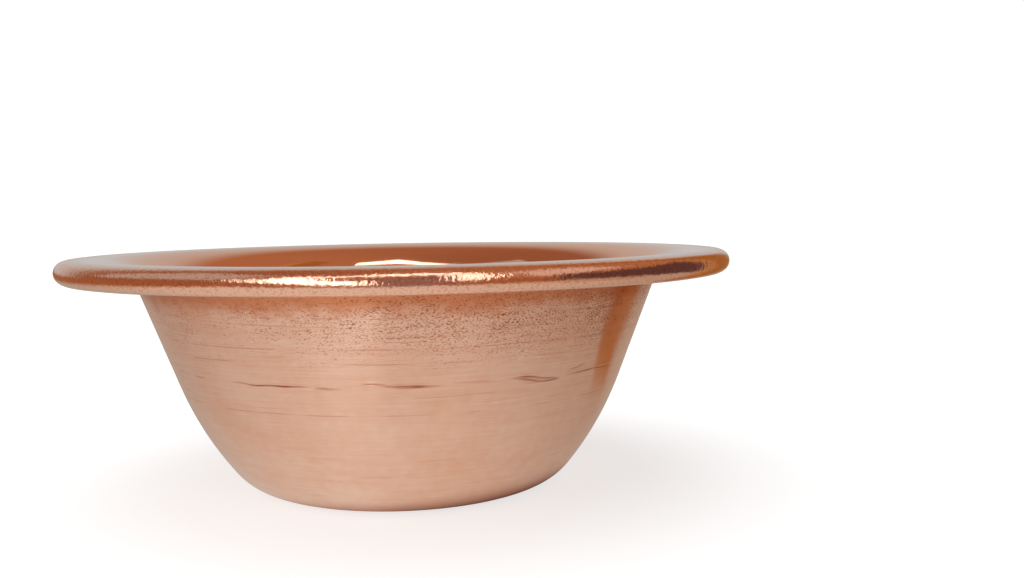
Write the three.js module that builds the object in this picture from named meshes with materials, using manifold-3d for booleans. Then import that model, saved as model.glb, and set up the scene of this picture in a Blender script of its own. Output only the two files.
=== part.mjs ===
// A small spun copper bowl with a wired edge, in millimetres.
// One disc of copper sheet is spun into the base, the flaring wall and the flat rim, and the rim's
// edge is rolled down and under round a steel wire, which stiffens it and makes the round bead.
// Frame: +Z up, with the origin at the middle of the flat base, on the surface that the bowl stands on.

import * as THREE from "three";
import { mergeVertices } from "three/addons/utils/BufferGeometryUtils.js";
import Module from "manifold-3d";

// Driving dimensions of the spun sheet
const rimDiameter = 87; // over the bead
const bowlHeight = 30.8; // from the base to the top of the rim
const sheetThickness = 0.65;
const rimFlat = 3.7; // width of the rim's flat, from the shoulder to the middle of the bead
const shoulderRadius = 5.5; // top surface, where the wall turns out into the rim
const wallAngle = THREE.MathUtils.degToRad(69.3); // slope of the straight top of the wall
const wallRadius = 42; // outside, the slow curve of the wall below its straight top
const cornerAngle = THREE.MathUtils.degToRad(51.2); // slope where the wall's curve meets the corner's
const cornerRadius = 7.7; // outside, between the base and the wall

// Driving dimensions of the wired edge
const wireDiameter = 1.4;
const wireClearance = 0.05; // between the wire and the sheet rolled round it
const wireEndGap = 0.5; // between the ends of the wire, where its ring is closed
const edgeClearance = 0.12; // between the sheet's cut edge and the underside of the rim

// Fineness of the facets
const turns = 64; // facets round the axis, the same on every ring so that nested rings stay clear
const cornerSteps = 5;
const wallSteps = 3;
const shoulderSteps = 5;
const quarterRollSteps = 4;
const wireSides = 10;

// The bead, which the wire and the sheet round it make together
const rollRadius = wireDiameter / 2 + wireClearance; // inside of the rolled sheet
const beadRadius = rollRadius + sheetThickness;
const beadRing = rimDiameter / 2 - beadRadius; // from the axis to the middle of the bead
const beadHeight = bowlHeight - beadRadius;

const wasm = await Module();
wasm.setup();

// Walks along the lower and outer face of the sheet from the axis to the cut edge, and keeps for
// each point the direction across the sheet, so that the other face is the same walk set off by it.
class SheetWalk {
  constructor() {
    this.place = new THREE.Vector2(0, 0);
    this.slope = 0;
    this.points = [];
    this.mark();
  }

  mark() {
    const across = new THREE.Vector2(-Math.sin(this.slope), Math.cos(this.slope));
    this.points.push({ place: this.place.clone(), across });
  }

  line(length) {
    this.place.x += length * Math.cos(this.slope);
    this.place.y += length * Math.sin(this.slope);
    this.mark();
  }

  // A positive turn curls the sheet up, and a negative one curls it down.
  arc(radius, turn, steps) {
    const side = Math.sign(turn);
    const centre = new THREE.Vector2(
      this.place.x - side * radius * Math.sin(this.slope),
      this.place.y + side * radius * Math.cos(this.slope),
    );
    const startSlope = this.slope;
    for (let step = 1; step <= steps; step++) {
      this.slope = startSlope + (turn * step) / steps;
      this.place.x = centre.x + side * radius * Math.sin(this.slope);
      this.place.y = centre.y - side * radius * Math.cos(this.slope);
      this.mark();
    }
  }

  // The closed outline of the sheet: out along the lower face, and back along the upper one.
  outline(thickness) {
    const lower = this.points.map(({ place }) => place.clone());
    const upper = this.points.map(({ place, across }) =>
      place.clone().addScaledVector(across, thickness),
    );
    return [...lower, ...upper.reverse()];
  }
}

// How the wall climbs and runs out between the base and the rim, on the sheet's outer face
function wallRunAndRise() {
  const shoulderUnder = shoulderRadius - sheetThickness;
  const curvedRun =
    cornerRadius * Math.sin(cornerAngle) +
    wallRadius * (Math.sin(wallAngle) - Math.sin(cornerAngle)) +
    shoulderUnder * Math.sin(wallAngle);
  const curvedRise =
    cornerRadius * (1 - Math.cos(cornerAngle)) +
    wallRadius * (Math.cos(cornerAngle) - Math.cos(wallAngle)) +
    shoulderUnder * (1 - Math.cos(wallAngle));
  const straight = (bowlHeight - sheetThickness - curvedRise) / Math.sin(wallAngle);
  return { straight, run: curvedRun + straight * Math.cos(wallAngle), shoulderUnder };
}

// The whole section of the spun sheet, from the axis to the cut edge tucked under the rim
function sheetOutline() {
  const { straight, run, shoulderUnder } = wallRunAndRise();
  const baseRadius = beadRing - rimFlat - run; // what the wall leaves is the flat base
  const edgeLift = Math.asin((beadRadius - sheetThickness - edgeClearance) / beadRadius);

  const walk = new SheetWalk();
  walk.line(baseRadius);
  walk.arc(cornerRadius, cornerAngle, cornerSteps);
  walk.arc(wallRadius, wallAngle - cornerAngle, wallSteps);
  walk.line(straight);
  walk.arc(shoulderUnder, -wallAngle, shoulderSteps);
  walk.line(rimFlat);
  walk.arc(rollRadius, -Math.PI / 2, quarterRollSteps); // over the bead to the rim's widest line
  walk.arc(rollRadius, -Math.PI - edgeLift, 2 * quarterRollSteps + 1); // under it and up inside
  return walk.outline(sheetThickness);
}

// The wire's round section, standing in the middle of the bead
function wireOutline() {
  const section = [];
  for (let side = 0; side <= wireSides; side++) {
    const angle = (2 * Math.PI * (side % wireSides)) / wireSides;
    section.push(
      new THREE.Vector2(
        beadRing + (wireDiameter / 2) * Math.cos(angle),
        beadHeight + (wireDiameter / 2) * Math.sin(angle),
      ),
    );
  }
  return section;
}

// Turns a section of radius and height round the Z axis
function turned(section) {
  return new THREE.LatheGeometry(section, turns).rotateX(Math.PI / 2);
}

// A closed geometry as a solid for cutting, and a cut solid as a geometry again
function solidOf(geometry) {
  const bare = geometry.clone();
  bare.deleteAttribute("normal");
  bare.deleteAttribute("uv");
  const merged = mergeVertices(bare, 1e-4);
  return new wasm.Manifold(
    new wasm.Mesh({
      numProp: 3,
      vertProperties: merged.attributes.position.array,
      triVerts: new Uint32Array(merged.index.array),
    }),
  );
}

function geometryOf(solid) {
  const mesh = solid.getMesh();
  const geometry = new THREE.BufferGeometry();
  geometry.setAttribute("position", new THREE.BufferAttribute(mesh.vertProperties, mesh.numProp));
  geometry.setIndex(new THREE.BufferAttribute(mesh.triVerts, 1));
  geometry.computeVertexNormals();
  return geometry;
}

// The wire's ring, cut where its two ends face each other at the back of the bowl
function wireRing() {
  const cut = new THREE.BoxGeometry(wireEndGap, 2 * wireDiameter, 2 * wireDiameter);
  cut.translate(0, beadRing, beadHeight);
  return geometryOf(solidOf(turned(wireOutline())).subtract(solidOf(cut)));
}

function copperBowl() {
  const spunCopper = new THREE.MeshStandardMaterial({ color: 0xc98a6b, roughness: 0.25, metalness: 1 });
  const drawnSteel = new THREE.MeshStandardMaterial({ color: 0x9a9c9e, roughness: 0.4, metalness: 1 });

  const shell = new THREE.Mesh(turned(sheetOutline()), spunCopper);
  shell.name = "bowl_shell";

  const wire = new THREE.Mesh(wireRing(), drawnSteel);
  wire.name = "rim_wire";

  const bowl = new THREE.Group();
  bowl.add(shell, wire);
  return bowl;
}

export default copperBowl();
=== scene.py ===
import math
import random

import bmesh
import bpy
from mathutils import Matrix, Vector, noise


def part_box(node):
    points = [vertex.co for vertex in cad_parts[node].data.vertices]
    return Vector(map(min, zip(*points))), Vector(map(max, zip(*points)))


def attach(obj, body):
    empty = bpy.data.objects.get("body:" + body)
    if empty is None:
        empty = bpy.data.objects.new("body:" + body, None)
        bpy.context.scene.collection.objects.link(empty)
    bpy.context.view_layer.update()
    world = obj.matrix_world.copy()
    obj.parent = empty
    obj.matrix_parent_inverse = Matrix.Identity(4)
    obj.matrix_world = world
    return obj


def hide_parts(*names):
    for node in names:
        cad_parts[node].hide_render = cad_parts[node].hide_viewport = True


# A small spun copper bowl with a wired edge, in metres, round the Z axis and standing on z = 0
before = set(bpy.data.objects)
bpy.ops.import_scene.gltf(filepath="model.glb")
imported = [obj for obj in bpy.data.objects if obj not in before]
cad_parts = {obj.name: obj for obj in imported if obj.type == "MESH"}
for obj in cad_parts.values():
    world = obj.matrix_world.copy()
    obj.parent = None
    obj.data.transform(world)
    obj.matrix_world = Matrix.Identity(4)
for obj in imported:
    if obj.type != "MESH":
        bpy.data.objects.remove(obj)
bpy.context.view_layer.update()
_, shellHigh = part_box("bowl_shell")
mm = 0.001


def smoothStep(low, high, value):
    share = min(1.0, max(0.0, (value - low) / (high - low)))
    return share * share * (3 - 2 * share)


class Value:
    # one socket of a shader, so that sums on it read as sums
    def __init__(self, shader, socket):
        self.shader = shader
        self.socket = socket

    def maths(self, operation, first, second):
        return self.shader.node("Math", {"operation": operation}, {0: first, 1: second})

    def __add__(self, other):
        return self.maths("ADD", self, other)

    def __radd__(self, other):
        return self.maths("ADD", other, self)

    def __sub__(self, other):
        return self.maths("SUBTRACT", self, other)

    def __rsub__(self, other):
        return self.maths("SUBTRACT", other, self)

    def __mul__(self, other):
        return self.maths("MULTIPLY", self, other)

    def __rmul__(self, other):
        return self.maths("MULTIPLY", other, self)

    def __truediv__(self, other):
        return self.maths("DIVIDE", self, other)

    def __rtruediv__(self, other):
        return self.maths("DIVIDE", other, self)

    def __pow__(self, other):
        return self.maths("POWER", self, other)

    def __rpow__(self, other):
        return self.maths("POWER", other, self)


class Shader:
    def __init__(self, tree):
        self.tree = tree
        self.tree.nodes.clear()

    def node(self, kind, settings=None, sockets=None, out=0):
        made = self.tree.nodes.new("ShaderNode" + kind)
        for name, setting in (settings or {}).items():
            setattr(made, name, setting)
        for name, given in (sockets or {}).items():
            if isinstance(given, Value):
                self.tree.links.new(given.socket, made.inputs[name])
            else:
                made.inputs[name].default_value = given
        return Value(self, made.outputs[out]) if made.outputs else made

    def fade(self, value, low, high):
        # 0 below low and 1 above high, or the other way round where low is the greater
        return self.node("MapRange", {"interpolation_type": "SMOOTHSTEP"},
                         {"Value": value, "From Min": low, "From Max": high})

    def blend(self, share, first, second):
        # the mix node's colour sockets are its seventh and eighth, and its colour output the third
        return self.node("Mix", {"data_type": "RGBA"}, {"Factor": share, 6: first, 7: second}, out=2)

    def noise(self, vector, scale, detail=2.0, roughness=0.5):
        return self.node("TexNoise", {}, {"Vector": vector, "Scale": scale, "Detail": detail,
                                          "Roughness": roughness})

    def scaled(self, vector, scale):
        return self.node("Mapping", {}, {"Vector": vector, "Scale": scale})

    def placeInMm(self):
        return self.scaled(self.node("TexCoord", out="Object"), (1 / mm, 1 / mm, 1 / mm))

    def parts(self, vector):
        split = self.node("SeparateXYZ", {}, {0: vector})
        return [Value(self, socket) for socket in split.socket.node.outputs]


def newMaterial(name):
    material = bpy.data.materials.new(name)
    material.use_nodes = True
    return material, Shader(material.node_tree)


def linkedObject(name, mesh):
    # makes the finished mesh an object, which stays at the origin
    data = bpy.data.meshes.new(name)
    mesh.to_mesh(data)
    mesh.free()
    made = bpy.data.objects.new(name, data)
    bpy.context.scene.collection.objects.link(made)
    return made


camera = {
    "place": (0.0, -149.2 * mm, 36.1 * mm),
    "down": 4.07,  # degrees below level
    "right": 5.73,  # degrees towards +X from +Y
    "roll": 0.87,
    "lens": 38.67,
    "sensor": 36,
}


def addCamera():
    lens = bpy.data.cameras.new("camera")
    lens.lens = camera["lens"]
    lens.sensor_width = camera["sensor"]
    lens.clip_start = 0.005
    seen = bpy.data.objects.new("camera", lens)
    turn = (Matrix.Rotation(-math.radians(camera["right"]), 4, "Z")
            @ Matrix.Rotation(math.radians(90 - camera["down"]), 4, "X")
            @ Matrix.Rotation(-math.radians(camera["roll"]), 4, "Z"))
    seen.matrix_world = Matrix.Translation(camera["place"]) @ turn
    bpy.context.scene.collection.objects.link(seen)
    bpy.context.scene.camera = seen


addCamera()
print("camera placed")


bowl = {
    "sheet": 0.65 * mm,
    "rimFlat": 3.7 * mm,
    "shoulderRadius": 5.5 * mm,
    "wallAngle": math.radians(69.3),
    "wallRadius": 42.0 * mm,
    "cornerAngle": math.radians(51.2),
    "cornerRadius": 7.7 * mm,
    "beadRadius": 1.4 * mm,
    "edgeClearance": 0.12 * mm,
    "turns": 320,  # facets round the axis
    "lapHeight": 17.3 * mm,  # the line of laps round the wall
    "lapBand": 2.2 * mm,  # the finely divided belt that carries them
    "broadRipple": 0.0022,  # rings that the spinning tool leaves, in mm
    "fineRipple": 0.0012,
}


class SheetWalk:
    # grows a line of edges along the sheet's lower and outer face, from the axis to the cut edge
    def __init__(self, mesh):
        self.mesh = mesh
        self.along = mesh.verts.layers.float.new("along")
        self.tip = mesh.verts.new((0, 0, 0))
        self.slope = 0.0
        self.length = 0.0

    def mark(self, vertices, length):
        for step, vertex in enumerate(vertices, 1):
            vertex[self.along] = (self.length + length * step / len(vertices)) / mm
        self.tip = vertices[-1]
        self.length += length

    def line(self, length, steps):
        path = []
        step = Vector((math.cos(self.slope), 0, math.sin(self.slope))) * (length / steps)
        tip = self.tip
        for _ in range(steps):
            tip = bmesh.ops.extrude_vert_indiv(self.mesh, verts=[tip])["verts"][0]
            bmesh.ops.translate(self.mesh, verts=[tip], vec=step)
            path.append(tip)
        self.mark(path, length)

    # a positive turn curls the sheet up, and a negative one curls it down
    def arc(self, radius, turn, steps):
        side = math.copysign(radius, turn)
        centre = self.tip.co + side * Vector((-math.sin(self.slope), 0, math.cos(self.slope)))
        before = set(self.mesh.verts)
        made = bmesh.ops.spin(self.mesh, geom=[self.tip], cent=centre, axis=(0, -1, 0),
                              angle=turn, steps=steps, use_merge=False)
        end = [v for v in made["geom_last"] if isinstance(v, bmesh.types.BMVert)][0]
        start = self.tip.co - centre

        def turned(vertex):
            arm = vertex.co - centre
            angle = math.atan2(start.cross(arm).dot(Vector((0, -1, 0))), start.dot(arm))
            return angle % math.tau if turn > 0 else -angle % math.tau

        path = sorted((v for v in self.mesh.verts if v not in before and v is not end), key=turned)
        self.slope += turn
        self.mark(path + [end], radius * abs(turn))


def growSection(mesh):
    size = bowl
    under = size["shoulderRadius"] - size["sheet"]
    rollRadius = size["beadRadius"] - size["sheet"]
    beadRing = shellHigh.x - size["beadRadius"]
    sinCorner, cosCorner = math.sin(size["cornerAngle"]), math.cos(size["cornerAngle"])
    sinWall, cosWall = math.sin(size["wallAngle"]), math.cos(size["wallAngle"])
    wallRise = (size["cornerRadius"] * (1 - cosCorner)
                + size["wallRadius"] * (cosCorner - cosWall))
    straight = (shellHigh.z - size["sheet"] - wallRise - under * (1 - cosWall)) / sinWall
    run = (size["cornerRadius"] * sinCorner + size["wallRadius"] * (sinWall - sinCorner)
           + straight * cosWall + under * sinWall)
    toBand = (size["lapHeight"] - size["lapBand"] / 2 - wallRise) / sinWall
    edgeLift = math.asin((rollRadius - size["edgeClearance"]) / size["beadRadius"])

    # each step of the walk ends with its number of facets, and the walk notes how far along the
    # sheet, in mm, the shoulder, the rim's flat and the roll begin
    walk = SheetWalk(mesh)
    walk.line(beadRing - size["rimFlat"] - run, 10)
    walk.arc(size["cornerRadius"], size["cornerAngle"], 12)
    walk.arc(size["wallRadius"], size["wallAngle"] - size["cornerAngle"], 22)
    walk.line(toBand, 5)
    walk.line(size["lapBand"] / sinWall, 34)
    walk.line(straight - toBand - size["lapBand"] / sinWall, 14)
    size["shoulderFrom"] = walk.length / mm
    walk.arc(under, -size["wallAngle"], 12)
    size["flatFrom"] = walk.length / mm
    walk.line(size["rimFlat"], 4)
    size["rollFrom"] = walk.length / mm
    walk.arc(rollRadius, -math.pi / 2, 8)
    walk.arc(rollRadius, -math.pi - edgeLift, 14)


# Each lap is a fold of the sheet that the spinning tool pressed shut. A row gives the bearing of its
# middle in degrees from the front towards +X, how many degrees it runs, and in mm how deep it is, how
# far it lies over the line of laps, how far it climbs along its run, and how wide it parts in two.
laps = [
    (-52, 4, 0.03, -0.1, -0.3, 0.0),
    (-30, 20, 0.07, -0.1, -0.2, 0.0),
    (-16, 6, 0.025, -0.2, 0.0, 0.1),
    (-1, 16, 0.065, 0.0, -0.1, 0.0),
    (2, 12, 0.04, -0.2, 0.0, 0.0),
    (30, 14, 0.055, -0.4, -0.8, 0.42),
    (48, 18, 0.045, -0.2, 0.1, 0.0),
    (42, 5, 0.03, 0.4, 0.4, 0.0),
]
lapShape = {
    "groove": 0.09,  # half width of the groove, in mm
    "lipOver": 0.17,  # from the groove up to the lip beside it
    "lipWidth": 0.12,
    "lipShare": 0.7,  # height of the lip against the depth of the groove
    "fullShadow": 0.045,  # depth from which the groove is at its darkest
    "wander": 0.32,  # how far the line of a lap strays, in mm
    "backLaps": 9,  # as many again are strewn round the rest of the wall
    "backFrom": 82,  # bearing of the first of them, and degrees from one to the next
    "backStep": 22,
}


def strewBackLaps():
    for place in range(lapShape["backLaps"]):
        middle = lapShape["backFrom"] + place * lapShape["backStep"] + random.uniform(0, 9)
        laps.append((middle, random.uniform(5, 18), random.uniform(0.03, 0.065),
                     random.uniform(-0.4, 0.4), random.uniform(-0.4, 0.4),
                     random.choice((0.0, 0.0, 0.3))))


def lapRelief(angle, height):
    # how far the face moves out, and how deep in a lap's shadow it lies
    lift, shadow = 0.0, 0.0
    for middle, run, depth, over, climb, parting in laps:
        off = (angle - middle + 180) % 360 - 180
        if abs(off) >= run / 2:
            continue
        share = off / run + 0.5
        line = bowl["lapHeight"] / mm + over + climb * (share - 0.5)
        line += lapShape["wander"] * noise.noise(Vector((angle * 0.16, middle * 0.7, 0.5)))
        taper = math.sin(math.pi * share) ** 0.5
        taper *= 0.85 + 0.6 * noise.noise(Vector((angle * 0.35, middle, 4.5)))
        half = 0.5 * parting * math.sin(math.pi * share)
        darkness = min(1.0, depth / lapShape["fullShadow"])
        for fold in ((line - half, line + half) if parting else (line,)):
            across = height - fold
            groove = math.exp(-(across / lapShape["groove"]) ** 2)
            lip = math.exp(-((across - lapShape["lipOver"]) / lapShape["lipWidth"]) ** 2)
            lift += taper * depth * (lapShape["lipShare"] * lip - groove)
            shadow = max(shadow, taper * groove * darkness)
    return lift, shadow


def spinRipple(along):
    broad = noise.noise(Vector((along * 0.9, 3.1, 0)))
    fine = noise.noise(Vector((along * 2.3, 9.4, 0)))
    return bowl["broadRipple"] * broad + bowl["fineRipple"] * fine


def buildShell():
    random.seed(7)
    strewBackLaps()
    mesh = bmesh.new()
    growSection(mesh)
    bmesh.ops.spin(mesh, geom=mesh.verts[:] + mesh.edges[:], cent=(0, 0, 0), axis=(0, 0, 1),
                   angle=math.tau, steps=bowl["turns"], use_merge=True)
    bmesh.ops.remove_doubles(mesh, verts=mesh.verts[:], dist=0.002 * mm)
    bmesh.ops.recalc_face_normals(mesh, faces=mesh.faces[:])
    lowest = min(mesh.faces, key=lambda face: face.calc_center_median().z)
    if lowest.normal.z > 0:
        bmesh.ops.reverse_faces(mesh, faces=mesh.faces[:])
    outside = mesh.verts.layers.float.new("outside")
    lap = mesh.verts.layers.float.new("lap")
    along = mesh.verts.layers.float["along"]
    mesh.normal_update()
    for vertex in mesh.verts:
        vertex[outside] = 1.0
        ripple = spinRipple(vertex[along])
        lift, shadow = 0.0, 0.0
        if vertex[along] < bowl["shoulderFrom"]:
            angle = math.degrees(math.atan2(vertex.co.x, -vertex.co.y))
            lift, shadow = lapRelief(angle, vertex.co.z / mm)
        fromBase = smoothStep(12, 20, vertex[along])  # the flat base stays flat
        toRim = smoothStep(bowl["flatFrom"], bowl["shoulderFrom"], vertex[along])  # and so does the rim
        vertex.co += vertex.normal * ((ripple * toRim + lift) * fromBase * mm)
        vertex[lap] = shadow
    outer = set(mesh.verts)
    bmesh.ops.solidify(mesh, geom=mesh.faces[:], thickness=bowl["sheet"])
    for vertex in mesh.verts:
        if vertex not in outer:
            vertex[outside] = 0.0
            vertex[lap] = 0.0
    # the rounding of the facets' corners pushes the bead out by a few thousandths, so it is drawn in
    widest = max(vertex.co.x for vertex in mesh.verts)
    highest = max(vertex.co.z for vertex in mesh.verts)
    inside = 0.99999
    drawnIn = inside * shellHigh.x / widest
    bmesh.ops.scale(mesh, verts=mesh.verts[:], vec=(drawnIn, drawnIn, inside * shellHigh.z / highest))
    for face in mesh.faces:
        face.smooth = True
    return linkedObject("spun_bowl", mesh)


copper = {
    "pale": (0.94, 0.605, 0.455),
    "deep": (0.87, 0.47, 0.31),
    "polished": (0.92, 0.53, 0.37),
    "underRimShade": (0.72, 0.27, 0.13),  # painted shade where the wall runs in under the rim, standing in for the reflection of the rim's shadowed underside
    "tarnish": (0.44, 0.095, 0.03),
    "pitTarnish": 0.85,  # how dark it lies in the pits, on the bead's specks, in the streaks and scores
    "speckTarnish": 0.26,
    "streakTarnish": 0.2,
    "scoreTarnish": 0.34,
    "lapShadow": (0.42, 0.065, 0.02),
    "wallRoughness": 0.205,
    "rimRoughness": 0.07,
    "beadRoughness": 0.12,  # what the grain of the bead adds to the rim's
    "pitsFrom": 16.5,  # heights of the pitted belt, in mm
    "pitsTo": 29.2,
    "pitsPerMm": 5.4,
    "pitDepth": 0.012,  # in mm, as are the next three
    "streakDepth": 0.0035,
    "ringDepth": 0.003,  # of the broad rings, the rarer streaks and the scores
    "peelDepth": 0.05,  # the orange peel of the bead
    "pitsOver": (0.735, 0.78),  # where a pit starts in the noise, and where it is at its darkest
    "rowSlant": 0.16,  # of the rows that the pits lie in, in radians
    "toolLines": (13.8, 19.8, 21.5, 24.9),  # heights of the deeper lines that the tool scored
    "lineWidth": 0.07,
    "underRimShadeFrom": 24.5,  # heights between which the wall turns redder with the painted shade under the rim
    "underRimShadeTo": 27.0,
    "brushed": (0.95, 0.25),  # how drawn out a reflection is across the brushing, and its turn
}


def copperMaterial():
    material, shader = newMaterial("spun copper")
    place = shader.placeInMm()
    x, y, height = shader.parts(place)
    radius = (x * x + y * y + 0.0001) ** 0.5
    along = shader.node("Attribute", {"attribute_name": "along"}, out="Fac")
    outside = shader.node("Attribute", {"attribute_name": "outside"}, out="Fac")
    lap = shader.node("Attribute", {"attribute_name": "lap"}, out="Fac")

    def streaks(perTurn, perMm, detail=2.0, shift=0.0):
        # noise drawn out round the axis: features per turn, and features per mm across the sheet
        reach = perTurn / math.tau
        vector = shader.node("CombineXYZ", {}, {
            0: x / radius * reach, 1: y / radius * reach, 2: along * perMm + shift})
        return shader.noise(vector, 1.0, detail)

    polish = (shader.fade(along, bowl["shoulderFrom"] + 0.5, bowl["flatFrom"] - 2.5) * outside
              + shader.fade(along, bowl["shoulderFrom"] - 5, bowl["shoulderFrom"] - 1) * (1 - outside))
    wall = 1 - polish
    bead = shader.fade(along, bowl["rollFrom"] - 2.5, bowl["rollFrom"] + 0.5) * (1 - outside)
    fine = streaks(24, 4.6, 2.5)
    broad = streaks(11, 1.1, 2.0, 40.0)
    patches = shader.noise(place, 0.11, 2.0)
    rare = shader.fade(streaks(24, 3.8, 1.0, 80.0), 0.665, 0.74)
    scores = 0.0
    for step, line in enumerate(copper["toolLines"]):
        off = (height - line + (broad - 0.5) * 0.5) / copper["lineWidth"]
        scores = scores + math.e ** (0 - off * off) * shader.fade(
            shader.noise(place, 0.16 + 0.03 * step, 1.0), 0.46, 0.60)

    # the pits that the sheet's skin tore into as the wall was drawn up
    belt = (shader.fade(height, copper["pitsFrom"], copper["pitsFrom"] + 8)
            * shader.fade(height, copper["pitsTo"], copper["pitsTo"] - 1.5) * outside)
    grains = shader.noise(shader.scaled(place, (0.75, 0.75, 1.9)), copper["pitsPerMm"], 3.0, 0.55)
    slanted = shader.node("Mapping", {}, {"Vector": place, "Rotation": (0, copper["rowSlant"], 0)})
    rows = shader.noise(shader.scaled(slanted, (0.22, 0.22, 1.9)), 1.0, 2.0)
    density = (shader.noise(place, 0.16, 2.0) * 0.14 + (rows - 0.5) * 0.16
               + shader.fade(x, -26, 8) * 0.05 + belt * 0.05)
    pits = shader.fade(grains + density, *copper["pitsOver"]) * belt

    mottle = shader.noise(place, 0.8, 3.0)
    calm = 0.5 + 0.5 * shader.fade(height, 12.0, 18.0)  # the wall is smoother below the laps
    tint = ((broad - 0.5) * 0.5 + (fine - 0.5) * 1.1 * calm + (mottle - 0.5) * 0.8
            + (patches - 0.5) * 1.3 + 0.38)
    colour = shader.blend(tint, (*copper["pale"], 1), (*copper["deep"], 1))
    # painted shade under the rim: the wall turns darker and redder where the rim's shadowed underside
    # shows in it
    ragged = height + (shader.noise(place, 0.45, 3.0) - 0.5) * 2.8
    shaded = shader.fade(ragged, copper["underRimShadeFrom"], copper["underRimShadeTo"]) * wall * outside
    colour = shader.blend(shaded, colour, (*copper["underRimShade"], 1))
    colour = shader.blend(polish * 0.85, colour, (*copper["polished"], 1))
    specks = shader.fade(streaks(760, 6.0, 2.0, 60.0), 0.48, 0.68) * bead
    stain = shader.node("Clamp", {}, {
        0: pits * copper["pitTarnish"] + specks * copper["speckTarnish"]
           + (rare * copper["streakTarnish"] * calm + scores * copper["scoreTarnish"] * outside) * wall})
    colour = shader.blend(stain, colour, (*copper["tarnish"], 1))
    colour = shader.blend(lap, colour, (*copper["lapShadow"], 1))
    peel = streaks(520, 3.6, 3.0, 11.0) * bead
    roughness = ((copper["wallRoughness"] + fine * 0.05) * wall + polish * copper["rimRoughness"]
                 + bead * streaks(500, 5.0, 1.0, 23.0) * copper["beadRoughness"])
    rings = (broad - rare * calm - scores) * copper["ringDepth"]
    relief = ((fine * copper["streakDepth"] * calm + rings) * wall
              - pits * copper["pitDepth"] + peel * copper["peelDepth"])
    bump = shader.node("Bump", {}, {"Height": relief, "Distance": mm, "Strength": 1.0})
    drawnOut, turned = copper["brushed"]
    metal = shader.node("BsdfPrincipled", {}, {
        "Base Color": colour, "Metallic": 1.0, "Roughness": roughness, "Normal": bump,
        "Anisotropic": drawnOut, "Anisotropic Rotation": turned})
    shader.node("OutputMaterial", {}, {"Surface": metal})
    return material


shell = buildShell()
shell.data.materials.append(copperMaterial())
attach(shell, "root")
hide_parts("bowl_shell")
print("bowl spun:", len(shell.data.polygons), "faces")


wire = {
    "radius": 0.7 * mm,
    "endGap": 0.5 * mm,
    "sides": 16,
    "steps": 240,
    "colour": (0.42, 0.42, 0.43),
    "grime": (0.24, 0.2, 0.17),
    "grimePerMm": 0.8,
    "roughness": 0.35,
}


def buildWire():
    ringRadius = shellHigh.x - bowl["beadRadius"]
    gapAngle = wire["endGap"] / ringRadius
    mesh = bmesh.new()
    disc = bmesh.ops.create_circle(mesh, cap_ends=True, segments=wire["sides"],
                                   radius=wire["radius"])["verts"]
    bmesh.ops.rotate(mesh, verts=disc, cent=(0, 0, 0), matrix=Matrix.Rotation(math.pi / 2, 3, "Y"))
    bmesh.ops.translate(mesh, verts=disc, vec=(0, ringRadius, shellHigh.z - bowl["beadRadius"]))
    bmesh.ops.rotate(mesh, verts=disc, cent=(0, 0, 0), matrix=Matrix.Rotation(gapAngle / 2, 3, "Z"))
    bmesh.ops.spin(mesh, geom=mesh.faces[:], cent=(0, 0, 0), axis=(0, 0, 1),
                   angle=math.tau - gapAngle, steps=wire["steps"], use_merge=False)
    bmesh.ops.recalc_face_normals(mesh, faces=mesh.faces[:])
    for face in mesh.faces:
        face.smooth = len(face.verts) == 4  # but not the flat ends
    return linkedObject("wire_ring", mesh)


def wireMaterial():
    material, shader = newMaterial("drawn steel")
    grime = shader.noise(shader.placeInMm(), wire["grimePerMm"], 4.0)
    colour = shader.blend(grime, (*wire["colour"], 1), (*wire["grime"], 1))
    metal = shader.node("BsdfPrincipled", {}, {
        "Base Color": colour, "Metallic": 1.0, "Roughness": wire["roughness"] + grime * 0.2})
    shader.node("OutputMaterial", {}, {"Surface": metal})
    return material


ring = buildWire()
ring.data.materials.append(wireMaterial())
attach(ring, "root")
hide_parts("rim_wire")
print("wire laid in the rim")


white = (1, 1, 1)
studio = {
    "wood": (0.36, 0.15, 0.07),
    "ceiling": (0.32, 0.145, 0.08),
    "ceilingRight": (0.44, 0.21, 0.11),
    "backdrop": (0.56, 0.55, 0.54),
    "floorReach": 3.0,
    "floorGlow": 0.74,
    "domeRadius": 2.9,
    "domeGlow": 1.05,
    "lamp": 2.1,
    "lampSpread": 70,  # degrees
    "lampTilt": (8, -10),  # degrees round X and Y
    "cardRun": 12,  # degrees round the bowl that one flat card spans
    # the cards, each with its name, its bearings from left to right, the elevations of its foot at
    # those two ends, then of its head, its distance in mm, its colour and its strength
    "cards": (
        ("window_left", -52, -40, (12, 6), (22, 36), 400, white, 1.5),
        ("window", -40, -25, (5, -12), (36, 30), 400, white, 3.2),
        ("window_foot", -25, -11, (-12, -20), (15, 9), 400, white, 3.2),
        ("window_edge", -12, -5, (-24, -22), (-8, -12), 400, white, 1.1),
        ("window_top", -40, -14, (33, 45), (41, 53), 395, white, 3.0),
        ("window_mid", -14, 2, (45, 51), (53, 65), 395, white, 3.0),
        ("window_end", 2, 30, (51, 48), (65, 55), 395, white, 3.0),
        ("window_side", 16, 30, (-7, 18), (44, 46), 390, white, 2.0),
        ("hands", -9, 16, (-38, -38), (39, 39), 380, (0.30, 0.18, 0.16), 1.0),
        ("left_wall", -94, -44, (9, 17), (54, 48), 110, (0.50, 0.48, 0.47), 1.0),
        ("right_wall", 33, 72, (6, 30), (42, 48), 112, (0.70, 0.60, 0.56), 1.0),
        ("dark", 40, 100, (-24, -16), (8, 27), 110, (0.115, 0.062, 0.062), 1.0),
    ),
}


def glowing(name, colour, strength):
    material, shader = newMaterial(name)
    light = shader.node("Emission", {}, {"Color": (*colour, 1), "Strength": strength})
    shader.node("OutputMaterial", {}, {"Surface": light})
    return material


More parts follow.
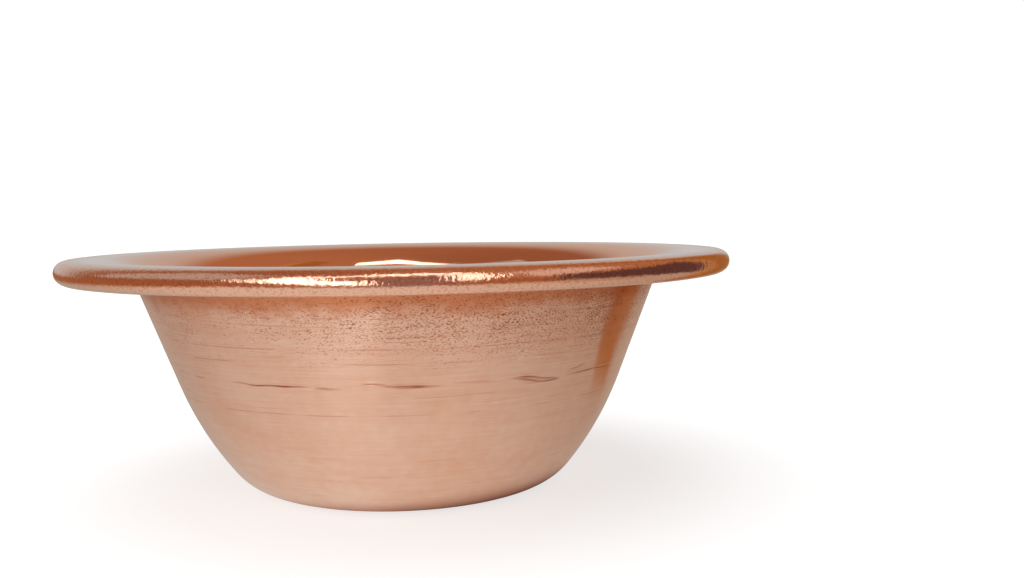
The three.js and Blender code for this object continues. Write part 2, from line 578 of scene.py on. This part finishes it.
def onlyReflected(thing):
    # it shows in the copper, and nowhere else
    thing.visible_camera = False
    thing.visible_diffuse = False
    thing.visible_shadow = False


def onlySeen(thing):
    # the camera sees it, and the copper doesn't
    thing.visible_glossy = False
    thing.visible_diffuse = False


def addCard(name, corners, colour, strength=1.0):
    mesh = bmesh.new()
    mesh.faces.new([mesh.verts.new(corner) for corner in corners])
    card = linkedObject(name, mesh)
    card.data.materials.append(glowing(name, colour, strength))
    onlyReflected(card)


def aimed(bearing, elevation, distance):
    # a place seen from the middle of the rim at a bearing and a height, in degrees
    flat = distance * mm
    return (flat * math.sin(math.radians(bearing)), -flat * math.cos(math.radians(bearing)),
            shellHigh.z + flat * math.tan(math.radians(elevation)))


def between(ends, share):
    return ends[0] + (ends[1] - ends[0]) * share


def aimedCards(name, left, right, low, high, distance, colour, strength):
    # a band of cards round the bowl, where low and high are the elevations of its two ends
    steps = max(1, round((right - left) / studio["cardRun"]))
    for step in range(steps):
        a, b = step / steps, (step + 1) / steps
        corners = [aimed(between((left, right), share), between(tilt, share), distance)
                   for share, tilt in ((a, low), (b, low), (b, high), (a, high))]
        addCard(f"{name}_{step}", corners, colour, strength)


# the white sheet that the bowl stands on, as the copper mirrors it
whiteSheet = {
    "glow": 0.78,  # how bright it is, at its brightest
    "sides": 0.58,  # how much of that is left away from the window
    "falloff": 2.3,
    "windowBearing": -20,  # the side that the window lights it from, in degrees
    "near": (1.0, 0.99, 0.96),  # its tint towards the window, and away from it
    "far": (1.0, 0.83, 0.67),
    "front": 80 * mm,  # where the sheet ends in front of the bowl
    "left": 110 * mm,  # and at its left, on a line that slants a little
    "slant": 0.24,
    "drop": 0.2 * mm,
    "shade": (1.0, 0.50, 0.36),  # of the bowl, round a place a little to the right of the axis
    "shadeLeft": 0.12,  # how much of the glow is left in it
    "shadeAcross": 2 * mm,
    "shadeFrom": 16.5 * mm,
    "shadeTo": 23 * mm,
    "table": (0.70, 0.36, 0.20),  # the wood that it fades into at the left
    "tableFrom": -76 * mm,
    "tableTo": -116 * mm,
    "warm": (0.84, 0.60, 0.46),  # its tint in front of the bowl, towards the right
    "warmFrom": 58 * mm,
    "warmTo": 84 * mm,
    "warmFrontFrom": -16 * mm,
    "warmFrontTo": -44 * mm,
}


def paperMaterial():
    material, shader = newMaterial("lit paper")
    x, y, _ = shader.parts(shader.node("TexCoord", out="Object"))
    radius = ((x - whiteSheet["shadeAcross"]) ** 2 + y * y) ** 0.5
    turn = math.radians(whiteSheet["windowBearing"])
    facing = ((x * math.sin(turn) - y * math.cos(turn)) / radius + 1) * 0.5
    tint = shader.blend(facing, (*whiteSheet["far"], 1), (*whiteSheet["near"], 1))
    clear = shader.fade(radius, whiteSheet["shadeFrom"], whiteSheet["shadeTo"])
    tint = shader.blend(clear, (*whiteSheet["shade"], 1), tint)
    table = shader.fade(x + y * whiteSheet["slant"], whiteSheet["tableFrom"], whiteSheet["tableTo"])
    tint = shader.blend(table, tint, (*whiteSheet["table"], 1))
    warm = (shader.fade(x * 0.7 - y * 0.7, whiteSheet["warmFrom"], whiteSheet["warmTo"])
            * shader.fade(y, whiteSheet["warmFrontFrom"], whiteSheet["warmFrontTo"]))
    tint = shader.blend(warm, tint, (*whiteSheet["warm"], 1))
    lit = whiteSheet["sides"] + facing ** whiteSheet["falloff"] * (1 - whiteSheet["sides"])
    glow = lit * (whiteSheet["shadeLeft"] + (1 - whiteSheet["shadeLeft"]) * clear) * whiteSheet["glow"]
    light = shader.node("Emission", {}, {"Color": tint, "Strength": glow})
    shader.node("OutputMaterial", {}, {"Surface": light})
    return material


def addPaper():
    # it runs far out at the right and the back
    mesh = bmesh.new()
    bmesh.ops.create_grid(mesh, x_segments=1, y_segments=1, size=1.0)
    bmesh.ops.translate(mesh, verts=mesh.verts[:], vec=(0, 1 - whiteSheet["front"], -whiteSheet["drop"]))
    bmesh.ops.scale(mesh, verts=mesh.verts[:], vec=(2.0, 1, 1))
    bmesh.ops.bisect_plane(mesh, geom=mesh.verts[:] + mesh.edges[:] + mesh.faces[:],
                           plane_co=(-whiteSheet["left"], 0, 0), plane_no=(-1, -whiteSheet["slant"], 0),
                           clear_outer=True)
    paper = linkedObject("paper", mesh)
    paper.data.materials.append(paperMaterial())
    onlyReflected(paper)


def addFloor():
    mesh = bmesh.new()
    bmesh.ops.create_grid(mesh, x_segments=1, y_segments=1, size=studio["floorReach"])
    bmesh.ops.translate(mesh, verts=mesh.verts[:], vec=(0, 0, -0.02 * mm))
    floor = linkedObject("floor", mesh)
    material, shader = newMaterial("white floor")
    matt = shader.node("BsdfPrincipled", {}, {
        "Base Color": (0.5, 0.5, 0.5, 1), "Roughness": 1.0, "Specular IOR Level": 0.0,
        "Emission Color": (*white, 1), "Emission Strength": studio["floorGlow"]})
    shader.node("OutputMaterial", {}, {"Surface": matt})
    floor.data.materials.append(material)
    onlySeen(floor)


def addDome():
    # the white that stands behind the bowl in every view
    mesh = bmesh.new()
    bmesh.ops.create_uvsphere(mesh, u_segments=48, v_segments=24, radius=studio["domeRadius"])
    bmesh.ops.reverse_faces(mesh, faces=mesh.faces[:])
    dome = linkedObject("dome", mesh)
    dome.data.materials.append(glowing("white dome", white, studio["domeGlow"]))
    onlySeen(dome)
    dome.visible_shadow = False


def addLamp():
    # a broad lamp overhead that only draws the soft shadow on the floor
    sun = bpy.data.lights.new("lamp", "SUN")
    sun.energy = studio["lamp"]
    sun.angle = math.radians(studio["lampSpread"])
    lamp = bpy.data.objects.new("lamp", sun)
    tiltX, tiltY = (math.radians(tilt) for tilt in studio["lampTilt"])
    lamp.matrix_world = Matrix.Rotation(tiltY, 4, "Y") @ Matrix.Rotation(tiltX, 4, "X")
    lamp.visible_glossy = False
    bpy.context.scene.collection.objects.link(lamp)


def addRoom():
    # what the copper mirrors all round: the ceiling, a pale backdrop behind, and wood below
    world = bpy.data.worlds.new("room")
    bpy.context.scene.world = world
    world.use_nodes = True
    world.cycles_visibility.diffuse = False
    shader = Shader(world.node_tree)
    across, back, up = shader.parts(shader.node("TexCoord", out="Generated"))
    ceiling = shader.blend(shader.fade(across, -0.5, 0.5), (*studio["ceiling"], 1),
                           (*studio["ceilingRight"], 1))
    sky = shader.blend(shader.fade(back, 0.45, 0.85), ceiling, (*studio["backdrop"], 1))
    around = shader.blend(shader.fade(up, -0.02, 0.02), (*studio["wood"], 1), sky)
    light = shader.node("Background", {}, {"Color": around, "Strength": 1.0})
    shader.node("OutputWorld", {}, {"Surface": light})


# a wooden rule that stands to the right of the bowl, seen only in the copper, in mm
rule = {
    "near": 51,  # its side towards the bowl, and the one away from it
    "far": 82,
    "edges": ((0, -2, 13), (8, -9, 8), (150, -22.5, 4)),  # height, then the front and back edge
    "face": 4,  # how far back its face towards the window stands, and its height
    "faceFrom": 2,
    "faceTo": 150,
    "sideColour": (0.37, 0.155, 0.045),
    "faceColour": (0.50, 0.28, 0.12),
}


def addRule():
    edges = rule["edges"]
    for (low, lowFront, lowBack), (high, highFront, highBack) in zip(edges, edges[1:]):
        corners = ((lowFront, low), (lowBack, low), (highBack, high), (highFront, high))
        addCard("rule", [(rule["near"] * mm, back * mm, height * mm) for back, height in corners],
                rule["sideColour"])
    corners = ((rule["near"], rule["faceFrom"]), (rule["far"], rule["faceFrom"]),
               (rule["far"], rule["faceTo"]), (rule["near"], rule["faceTo"]))
    addCard("rule_face", [(across * mm, rule["face"] * mm, height * mm) for across, height in corners],
            rule["faceColour"])


def addStudio():
    addRoom()
    addFloor()
    addDome()
    addPaper()
    addLamp()
    for card in studio["cards"]:
        aimedCards(*card)
    addRule()
    bpy.context.scene.view_settings.view_transform = "Standard"


addStudio()
print("studio lit")
